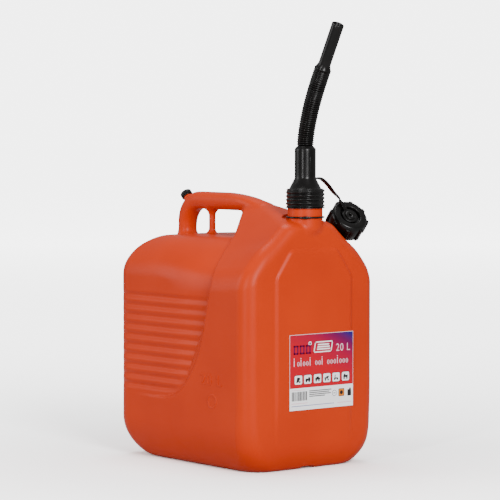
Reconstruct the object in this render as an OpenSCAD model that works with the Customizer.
// Plastic fuel jerry can with a flexible pouring spout, a tethered screw cap and a vent cap.
// Origin: centre of the base, on the floor. +Z is up, the labelled front faces -Y, and +X is
// to the right when the front is looked at. Sizes are in millimetres.

/* [Tank] */
// Width of the tank across its two sides
tank_w = 246; // [220:1:270]
// Distance of the raised front panel from the centre
front_y = 162; // [140:1:180]
// Distance of the rear wall from the centre
rear_y = 160; // [140:1:180]
// Step of the raised panel above the rest of the front wall
panel_step = 2.5; // [1:0.5:4]
// Half width of the raised front panel
panel_half = 74; // [50:1:90]
// Wall thickness of the moulding
wall = 2.6; // [2:0.1:4]
// Height at which the front shoulders start to turn inwards
shoulder_z = 262; // [240:1:280]
// Slope of the front shoulders above the horizontal
shoulder_angle = 43; // [35:1:50]
// Depth by which the ribbed rear side panels stand back
recess = 3; // [1:0.5:6]
// Height of the flat top behind the shoulders
deck_z = 333; // [320:1:345]
// Radius of the rounded rear top edges
deck_r = 60; // [40:1:70]
// Number of grooves in each ribbed side panel
rib_count = 10; // [6:1:12]
// Height of the topmost groove
rib_top_z = 243.8; // [235:0.2:250]
// Spacing of the grooves
rib_pitch = 14.9; // [12:0.1:18]

/* [Handle] */
// Height of the top of the grip
grip_z = 396; // [380:1:410]
// Thickness of the grip, top to bottom
grip_h = 26; // [20:1:32]
// Half width of the grip
grip_half = 16; // [12:1:20]
// Diameter of the post between the two finger gaps
post_d = 9; // [6:1:14]
// Position of the post along the can
post_y = 79.3; // [60:0.1:100]

/* [Neck] */
// Distance of the neck's axis in front of the centre
neck_y = 139.5; // [125:0.5:145]
// Outside radius of the neck
neck_r = 25.2; // [22:0.1:28]
// Radius of the filler bore
bore_r = 21; // [18:0.5:23]
// Height of the neck's rim
neck_top = 402; // [395:1:410]

/* [Spout] */
// Height of the lower edge of the spout's collar
collar_z = 378; // [376:0.5:385]
// Radius of the collar over its thread ridges
collar_r = 28.2; // [27:0.1:30]
// Pitch of the neck thread
thread_pitch = 5.5; // [4:0.1:6]
// Outside radius of the sleeve above the cone
sleeve_r = 15.4; // [13:0.1:18]
// Outside radius of the bellows
bellows_r = 12; // [10:0.1:14]
// Spacing of the bellows' rings
ring_pitch = 3.2; // [2.4:0.1:4]
// Distance between two bending points of the bellows
link_len = 18.6; // [16:0.1:22]
// Gap left between two links of the bellows
link_gap = 3.4; // [3:0.1:4]
// Bend at each bending point as stored, from the sleeve up to the nozzle
rest_bend = [11, 5, 4, 3.5, 2.5, 1.7];
// Outside radius of the nozzle tube
nozzle_r = 9; // [7:0.1:11]
// Radius of the nozzle's bore
nozzle_bore = 7.4; // [5:0.1:9]
// Length from the last bending point to the open end
nozzle_len = 89.2; // [70:0.1:110]

/* [Cap] */
// Radius of the screw cap's skirt
cap_r = 27.6; // [26.5:0.1:30]
// Radius over the cap's lugs
lug_r = 30; // [29:0.1:34]
// Height of the screw cap
cap_h = 27; // [20:1:32]
// Number of lugs round the cap
lug_count = 8; // [6:1:12]
// Centre of the cap's top face where it rests on the shoulder
cap_at = [89, -137, 366];
// Heading of the cap's top face round the vertical
cap_turn = -103.8; // [-180:0.1:180]
// Lean of the cap's axis away from the vertical
cap_lean = 49.4; // [0:0.1:90]

/* [Tether] */
// Height of the tether ring round the neck
tether_z = 365; // [362:0.5:370]
// Thickness of the ring's wire
tether_wire = 2.6; // [2:0.1:4]
// Width of the strap
strap_w = 6; // [4:0.5:9]
// Thickness of the strap
strap_t = 1.6; // [1:0.1:3]

/* [Vent] */
// Place where the vent neck leaves the handle's rear corner
vent_at = [0, 136, 383];
// Lean of the vent's axis towards the rear
vent_lean = 45; // [20:1:60]
// Diameter of the vent cap
vent_d = 18; // [14:0.5:24]
// Height of the vent cap
vent_h = 9; // [6:0.5:12]
// Pitch of the vent thread
vent_pitch = 2; // [1:0.1:3]

/* [Label] */
// Width of the label
label_w = 120; // [80:1:140]
// Height of the label
label_h = 109; // [80:1:140]
// Lower left corner of the label on the front panel
label_at = [-47.6, 88.5];
// Thickness of the label
label_t = 0.25; // [0.1:0.05:0.5]

/* [View] */
// Node to draw

/* [Hidden] */
$fn = 96;
half_w = tank_w / 2;
rear_half = half_w - recess;
wall_y = front_y - panel_step;
collar_top = collar_z + 28;
sleeve_top = collar_top + 59;
bend_start = sleeve_top + 9.6;
orange = [0.82, 0.3, 0.12];
black = [0.12, 0.115, 0.11];

// Points on an arc, from angle a0 to angle a1.
function arc(cx, cy, r, a0, a1, n = 8) =
    [for (i = [0:n]) let(a = a0 + (a1 - a0) * i / n) [cx + r * cos(a), cy + r * sin(a)]];
function mirror_x(p) = [for (i = [len(p) - 1:-1:0]) [-p[i][0], p[i][1]]];
function unit(v) = v / norm(v);

// Shrinks a flat shape by t on every side.
module shrink(t) {
    if (t == 0) {
        children();
    } else {
        intersection() {
            translate([t, t]) children();
            translate([-t, t]) children();
            translate([t, -t]) children();
            translate([-t, -t]) children();
        }
    }
}

// Draws a flat outline standing across the can, seen from the front.
module across(y0, y1) {
    translate([0, y1, 0]) rotate([90, 0, 0]) linear_extrude(height = y1 - y0) children();
}

// Draws a flat outline standing along the can, seen from its side: first axis Y, second Z.
module along(x0, x1) {
    translate([x0, 0, 0]) rotate([90, 0, 90]) linear_extrude(height = x1 - x0) children();
}

// Stands children on the neck's axis.
module on_neck() {
    translate([0, -neck_y, 0]) children();
}

// ---------- tank outlines ----------

flank_r = 85;
flank_z = 60;
flank_foot = half_w - flank_r + sqrt(flank_r * flank_r - flank_z * flank_z);
front_flank_r = 60;
front_flank_z = 40;
shoulder_r = 50;
shoulder_end = [half_w - shoulder_r + shoulder_r * sin(shoulder_angle),
                shoulder_z + shoulder_r * cos(shoulder_angle)];

// Front view of the lower body, with sides that curve in towards the base.
module lower_outline() {
    right = concat([[flank_foot - 5, 0]],
                   arc(half_w - flank_r, flank_z, flank_r, -asin(flank_z / flank_r) + 3, 0, 10),
                   [[half_w, 420]]);
    polygon(concat(right, mirror_x(right)));
}

// Front view of the shoulders, which rise straight to the ridge in line with the handle.
module shoulder_outline() {
    run = shoulder_end[0] - grip_half + 4;
    right = concat([[half_w, -20]],
                   arc(half_w - shoulder_r, shoulder_z, shoulder_r, 0, 90 - shoulder_angle, 8),
                   [[grip_half - 4, shoulder_end[1] + run * tan(shoulder_angle)]]);
    polygon(concat(right, mirror_x(right)));
}

// Plan view with rounded corners.
module plan_outline(half, y_front) {
    rf = 24;
    rr = 30;
    right = concat(arc(half - rf, -y_front + rf, rf, -90, 0, 6),
                   arc(half - rr, rear_y - rr, rr, 0, 90, 6));
    polygon(concat(right, mirror_x(right)));
}

// The curved step between the raised front and the ribbed rear panel, as distance along the can
// against height.
crease = [[rear_y + 20, 96], [52, 96], [27, 98], [5, 107], [-17, 126], [-32, 144], [-44, 165],
          [-53.5, 190], [-62.8, 229], [-69, 252], [-72, 268], [-71, 284], [-62, 301], [-53, 321],
          [-46, 342], [-32, 358], [-16, 372], [-10, 400]];

// Side view of the raised front body.
module front_side_outline() {
    polygon(concat([[-wall_y, 350]],
                   arc(-wall_y + front_flank_r, front_flank_z, front_flank_r, 180,
                       180 + asin(front_flank_z / front_flank_r) - 4, 8),
                   [[-wall_y + 20, 0], [rear_y + 20, 0]],
                   crease,
                   [[-20, 395], [-110, 370], [-wall_y + 5, 356]]));
}

// Side view of the rear body, with its rounded top and its base curving in.
module rear_side_outline() {
    polygon(concat([[-120, 0], [rear_y - flank_r + sqrt(flank_r * flank_r - flank_z * flank_z) - 5, 0]],
                   arc(rear_y - flank_r, flank_z, flank_r, -asin(flank_z / flank_r) + 3, 0, 10),
                   arc(rear_y - deck_r, deck_z - deck_r, deck_r, 0, 90, 10),
                   [[-120, deck_z]]));
}

// Front view of the rear body.
module rear_outline() {
    right = concat([[rear_half, -20]],
                   arc(rear_half - deck_r, deck_z - deck_r, deck_r, 0, 90, 10));
    polygon(concat(right, mirror_x(right)));
}

module front_body(t) {
    intersection() {
        along(-half_w, half_w) shrink(t) front_side_outline();
        along(-half_w, half_w) shrink(t) rear_limit();
        across(-200, 200) shrink(t) lower_outline();
        translate([0, -152, shoulder_z]) rotate([-4, 0, 0]) translate([0, 152, -shoulder_z])
            across(-230, 230) shrink(t) shoulder_outline();
        translate([0, 0, -10]) linear_extrude(height = 500) shrink(t) plan_outline(half_w, wall_y);
    }
}

// Keeps the lower body inside the rear wall's curve.
module rear_limit() {
    polygon(concat([[-200, 0], [rear_y - flank_r + sqrt(flank_r * flank_r - flank_z * flank_z) - 5, 0]],
                   arc(rear_y - flank_r, flank_z, flank_r, -asin(flank_z / flank_r) + 3, 0, 10),
                   [[rear_y, 420], [-200, 420]]));
}

module rear_body(t) {
    intersection() {
        along(-half_w, half_w) shrink(t) rear_side_outline();
        across(-200, 200) shrink(t) lower_outline();
        across(-200, 200) shrink(t) rear_outline();
        translate([0, 0, -10]) linear_extrude(height = 500) shrink(t) plan_outline(rear_half, wall_y);
    }
}

// Outline of the raised front panel, which narrows between the shoulders.
module panel_outline() {
    right = [[panel_half - 8, 30], [panel_half, 38], [panel_half, 278], [46, 320]];
    polygon(concat(right, mirror_x(right)));
}

module tank_outside() {
    front_body(0);
    rear_body(0);
    across(-front_y, -wall_y + 1) panel_outline();
}

// ---------- tank nodes ----------

module tank_shell() {
    color(orange) difference() {
        tank_outside();
        front_body(wall);
        rear_body(wall);
        // filler opening under the neck
        on_neck() translate([0, 0, 330]) cylinder(r = bore_r, h = 80);
        // flat seat round the neck, which the tether ring turns on
        on_neck() translate([0, 0, 362.3]) cylinder(r = 33.5, h = 60);
        // ways into the hollow handle
        translate([-8, 132, 320]) cube([16, 12, 30]);
        translate([-8, -40, 365]) cube([16, 80, 15]);
        // grooves of the ribbed panels
        for (side = [-1, 1]) {
            for (i = [0:rib_count - 1]) {
                z = rib_top_z - i * rib_pitch;
                translate([side * (rear_half + 3.4), rib_start(z), z]) rotate([-90, 0, 0])
                    cylinder(r = 5.4, h = 138 - rib_start(z), $fn = 48);
            }
        }
        // grooves at both ends of the base, on its middle line
        for (y = [-200, 90]) {
            translate([-7, y, -2]) cube([14, 110, 4.4]);
        }
    }
}

// Distance along the can at which the groove at height z starts, just behind the curved step.
function rib_start(z) = lookup(z, [[96, 40], [107, 10], [126, -12], [144, -27], [165, -39], [190, -49],
                                   [229, -58], [252, -64]]);

// Side view of the handle, outside.
module handle_outline() {
    polygon([[-52, 296], [-52, 386], [-24, 393], [-8, grip_z], [104, grip_z], [112, grip_z - 1],
             [121, grip_z - 4], [129, grip_z - 9], [137, grip_z - 17], [142, grip_z - 25],
             [147, grip_z - 38], [150, 345], [152, 325], [153, 296]]);
}

// Side view of the finger gap, before the post is set into it.
module gap_outline() {
    z1 = grip_z - grip_h;
    polygon([[-13, z1], [6, deck_z + 1], [8, 310], [136, 310], [134, 345], [130, 356], [124, z1 - 5],
             [114, z1]]);
}

// Side view of the hollow inside the handle.
module handle_hollow_outline() {
    z0 = grip_z - grip_h + wall;
    z1 = grip_z - wall;
    polygon([[-60, 365], [-60, z0 + 4], [-22, z1 - 3], [-8, z1], [104, z1], [119, z1 - 4],
             [127, z1 - 9], [134, z1 - 17], [139, z1 - 25], [144, z1 - 38], [147, 345], [148, 325],
             [139, 325], [137, 345], [133, 358], [126, z0 - 3], [115, z0], [-16, z0]]);
}

module handle() {
    color(orange) difference() {
        intersection() {
            along(-grip_half, grip_half) handle_outline();
            across(-200, 200) polygon([[-grip_half, 300], [grip_half, 300], [grip_half, grip_z - 9],
                                       [grip_half - 2.6, grip_z - 3], [grip_half - 8, grip_z],
                                       [-grip_half + 8, grip_z], [-grip_half + 2.6, grip_z - 3],
                                       [-grip_half, grip_z - 9]]);
        }
        along(-30, 30) gap_outline();
        along(-grip_half + wall, grip_half - wall) handle_hollow_outline();
        front_body(0);
        rear_body(0);
        on_vent() translate([0, 0, -20]) cylinder(r = 4, h = 40);
        on_vent() vent_boss(-30);
    }
}

// Waisted post between the two finger gaps.
module handle_post() {
    z0 = deck_z;
    z1 = grip_z - grip_h;
    r = post_d / 2;
    color(orange) translate([0, post_y, 0]) rotate_extrude() polygon(concat(
        [[0, z0], [r + 4, z0]], [for (i = [0:6]) [r + 4 * pow(1 - i / 6, 2), z0 + 1 + i * 1.6]],
        [for (i = [0:6]) [r + 4 * pow(i / 6, 2), z1 - 10.6 + i * 1.6]], [[r + 4, z1], [0, z1]]));
}

// Threaded filler neck.
module neck() {
    crest = [for (i = [0:2]) 382 + i * thread_pitch];
    color(orange) difference() {
        on_neck() rotate_extrude() polygon(concat(
            [[bore_r, 340], [neck_r, 340], [neck_r, 379.5], [neck_r - 1.3, 380.5]],
            [for (z = crest, p = [[-1.3, 1], [0, 1.9], [0, 2.9], [-1.3, 3.8]]) [neck_r + p[0], z + p[1]]],
            [[neck_r - 1.3, neck_top - 0.8], [neck_r - 2.1, neck_top], [bore_r, neck_top]]));
        front_body(0);
        across(-front_y, -wall_y + 1) panel_outline();
    }
}

// Stands children on the vent's axis, at the handle's rear corner.
module on_vent() {
    translate(vent_at) rotate([-vent_lean, 0, 0]) children();
}

module vent_boss(z0) {
    rotate_extrude() polygon([[0, z0], [7.6, z0], [7.6, 3.6], [6.8, 4.4], [0, 4.4]]);
}

// Small threaded vent neck on the rear corner of the handle.
module vent_neck() {
    color(orange) on_vent() difference() {
        union() {
            translate([0, 0, -12]) cylinder(r = 7.6, h = 16.4);
            translate([0, 0, 4.4]) cylinder(r = 5.6, h = 7.8);
            for (i = [0:2]) translate([0, 0, 5.6 + i * vent_pitch]) cylinder(r = 6, h = 0.9);
        }
        translate([0, 0, -20]) cylinder(r = 4, h = 40);
    }
}

module label() {
    color([0.8, 0.1, 0.3]) translate([label_at[0], -front_y - label_t, label_at[1]])
        cube([label_w, label_t, label_h]);
}

// ---------- spout ----------

// Flat gasket under the roof of the collar.
module spout_seal() {
    color([0.3, 0.3, 0.3]) on_neck() translate([0, 0, neck_top + 0.2]) difference() {
        cylinder(r = 25, h = 1.8);
        translate([0, 0, -1]) cylinder(r = 19.5, h = 4);
    }
}

// Collar with its thread ridges, cone, sleeve and the first rings of the bellows.
module spout_collar() {
    ridges = [for (i = [0:4], p = [[-1.8, 0], [-1.5, 1.1], [-0.4, 2], [0, 2.7], [-0.4, 3.4], [-1.5, 4.3]])
              [collar_r + p[0], collar_z + 0.6 + i * 5.4 + p[1]]];
    color(black) on_neck() rotate_extrude() polygon(concat(
        [[25.6, collar_z], [collar_r + 0.3, collar_z], [collar_r + 0.3, collar_z + 0.6]],
        ridges,
        [[26.2, collar_top - 0.6], [23.4, collar_top], [sleeve_r + 0.6, collar_top + 14.6],
         [sleeve_r, collar_top + 16], [sleeve_r, sleeve_top - 2], [bellows_r + 0.6, sleeve_top + 3.4],
         [bellows_r - 1.4, sleeve_top + 4.6], [bellows_r - 1.4, sleeve_top + 5.4],
         [bellows_r, sleeve_top + 6.2], [bellows_r, sleeve_top + 7], [bellows_r - 1, sleeve_top + 7.9],
         [bellows_r - 2.4, sleeve_top + 7.9], [bellows_r - 2.4, sleeve_top + 2],
         [sleeve_r - 2, sleeve_top - 3], [sleeve_r - 2, collar_top + 16], [21, collar_top + 1],
         [19.5, neck_top + 2.2], [25.6, neck_top + 2.2]]));
}

// Rings of one link of the bellows, between z0 and z1 on its own axis.
module rings(z0, z1) {
    n = floor((z1 - z0) / ring_pitch + 0.01);
    p = (z1 - z0) / n;
    out = [for (i = [0:n - 1], q = [[-1.5, 0], [-1.5, 0.1], [0, 0.35], [0, 0.65], [-1.5, 0.9]])
           [bellows_r + q[0], z0 + (i + q[1]) * p]];
    rotate_extrude() polygon(concat([[bellows_r - 2.4, z0]], out,
                                    [[bellows_r - 1.5, z1], [bellows_r - 2.4, z1]]));
}

// Stands children at bending point n of the bellows, with Z along what lies above it.
module at_bend(n) {
    if (n == 0) {
        translate([0, -neck_y, bend_start]) rotate([rest_bend[0], 0, 0]) children();
    } else {
        at_bend(n - 1) translate([0, 0, link_len]) rotate([rest_bend[n], 0, 0]) children();
    }
}

module bellows_link(n) {
    color(black) at_bend(n) rings(link_gap / 2, link_len - link_gap / 2);
}

// Last rings, shoulder and pouring tube.
module nozzle() {
    color(black) at_bend(5) {
        rings(link_gap / 2, 17.7);
        rotate_extrude() polygon([[nozzle_bore, 17.7], [bellows_r - 0.6, 17.7],
                                  [bellows_r - 0.6, 19.2], [nozzle_r + 0.4, 24.4],
                                  [nozzle_r, 26], [nozzle_r, nozzle_len - 0.6],
                                  [nozzle_r - 0.6, nozzle_len], [nozzle_bore, nozzle_len]]);
    }
}

// ---------- screw cap ----------

// Stands children on the cap's axis, with Z = 0 at its top face.
module on_cap() {
    translate(cap_at) rotate([0, 0, cap_turn]) rotate([0, cap_lean, 0]) children();
}

module screw_cap() {
    color(black) on_cap() {
        difference() {
            union() {
                rotate_extrude() polygon([[0, -6.5], [15.4, -6.5], [15.4, -0.8], [16.2, 0],
                                          [23.4, 0], [24.6, -0.7], [cap_r, -4.2], [cap_r, -cap_h],
                                          [0, -cap_h]]);
                for (i = [0:lug_count - 1]) {
                    rotate([0, 0, (i + 0.5) * 360 / lug_count])
                        translate([cap_r - 1.5, -2.6, -cap_h])
                        cube([lug_r - cap_r + 1.5, 5.2, cap_h - 3.2]);
                }
                translate([0, 0, -7]) cylinder(r = 6.6, h = 6.4);
                translate([0, 0, -1.4]) cylinder(r = 7.6, h = 1.2);
            }
            translate([0, 0, -cap_h - 1]) cylinder(r = 25.6, h = cap_h + 1 - 9);
            translate([0, 0, -5]) cylinder(r = 2.3, h = 10);
        }
    }
}

module cap_seal() {
    color([0.75, 0.74, 0.7]) on_cap() translate([0, 0, -11]) cylinder(r = 25, h = 2);
}

// ---------- tether ----------

module tether_ring() {
    color(black) ring_wire();
}

// Small snap clasp that closes the ring in front.
module tether_clasp() {
    color(black) difference() {
        on_neck() rotate([0, 0, -129]) translate([neck_r + 0.5, 0, tether_z]) {
            translate([0, -3.6, -2.2]) cube([tether_wire + 1.2, 7.2, 4.4]);
            translate([0.4, -6, -1.6]) cube([tether_wire + 0.2, 12, 3.2]);
        }
        ring_wire();
    }
}

// The ring's wire, running round the neck.
module ring_wire() {
    on_neck() translate([0, 0, tether_z]) rotate_extrude()
        translate([neck_r + 0.3 + tether_wire / 2, 0]) circle(d = tether_wire, $fn = 32);
}

// Path of the strap: place, and the outward direction of its flat face.
riser_path = [[[23.6, -122.9, 366.2], [0.82, 0.57, 0]], [[25.3, -121.7, 372], [0.82, 0.57, 0]],
              [[26.2, -121.1, 386], [0.82, 0.57, 0]], [[26.8, -120.7, 402], [0.76, 0.62, 0.1]],
              [[29, -120.3, 412.6], [-0.5, 0.5, 0.7]], [[35.5, -121.1, 419.4], [-0.1, 0.25, 0.97]]];
strap_path = [[[37.4, -121.3, 420.1], [0.02, 0.2, 0.98]], [[46.5, -121.6, 418.4], [0.4, 0.15, 0.9]],
              [[58, -121.4, 410.4], [0.66, 0.12, 0.74]], [[69.5, -120.9, 399.8], [0.76, 0, 0.64]],
              [[79.9, -120.9, 390.2], [0.6, -0.35, 0.7]], [[82.1, -122.6, 384.1], [0.2, -0.62, 0.75]],
              [[84, -126.4, 379.1], [-0.17, -0.74, 0.65]], [[85.9, -128.1, 373.7], [-0.18, -0.737, 0.651]]];

// One cross-section of the strap at path point p, with the next point q giving its heading.
module strap_slice(p, q, dir) {
    t = unit(q[0] - p[0]) * dir;
    w = unit(cross(p[1], t));
    n = unit(cross(t, w));
    multmatrix([[t[0], w[0], n[0], p[0][0]], [t[1], w[1], n[1], p[0][1]],
                [t[2], w[2], n[2], p[0][2]], [0, 0, 0, 1]])
        cube([0.4, strap_w, strap_t], center = true);
}

module strap_along(path) {
    last = len(path) - 1;
    for (i = [0:last - 1]) {
        hull() {
            strap_slice(path[i], path[i + 1], 1);
            if (i + 1 == last) {
                strap_slice(path[last], path[last - 1], -1);
            } else {
                strap_slice(path[i + 1], path[i + 2], 1);
            }
        }
    }
}

module tether_riser() {
    color(black) difference() {
        strap_along(riser_path);
        ring_wire();
    }
}

module tether_strap() {
    color(black) difference() {
        strap_along(strap_path);
        on_cap() translate([0, 0, -8]) cylinder(r = 12.2, h = 8.2);
    }
}

// Eye at the strap's end, held under the head of the cap's centre boss.
module tether_eye() {
    color(black) on_cap() translate([0, 0, -3.6]) difference() {
        cylinder(r = 12, h = 1.7);
        translate([0, 0, -1]) cylinder(r = 6.9, h = 4);
    }
}

// ---------- vent cap ----------

module vent_seal() {
    color([0.75, 0.74, 0.7]) on_vent() translate([0, 0, 12.4]) cylinder(r = 5.8, h = 1);
}

module vent_cap() {
    color(black) on_vent() difference() {
        union() {
            translate([0, 0, 6]) cylinder(r = vent_d / 2 - 0.7, h = vent_h);
            for (i = [0:17]) rotate([0, 0, i * 20]) translate([vent_d / 2 - 1.4, -0.7, 6.6])
                cube([1.4, 1.4, vent_h - 1.4]);
        }
        translate([0, 0, 5]) cylinder(r = 6.3, h = 8.6);
    }
}

tank_shell();
handle();
handle_post();
neck();
vent_neck();
label();
spout_seal();
spout_collar();
bellows_link(0);  // bellows_1
bellows_link(1);  // bellows_2
bellows_link(2);  // bellows_3
bellows_link(3);  // bellows_4
bellows_link(4);  // bellows_5
nozzle();
tether_ring();
tether_clasp();
tether_riser();
tether_strap();
tether_eye();
screw_cap();
cap_seal();
vent_seal();
vent_cap();
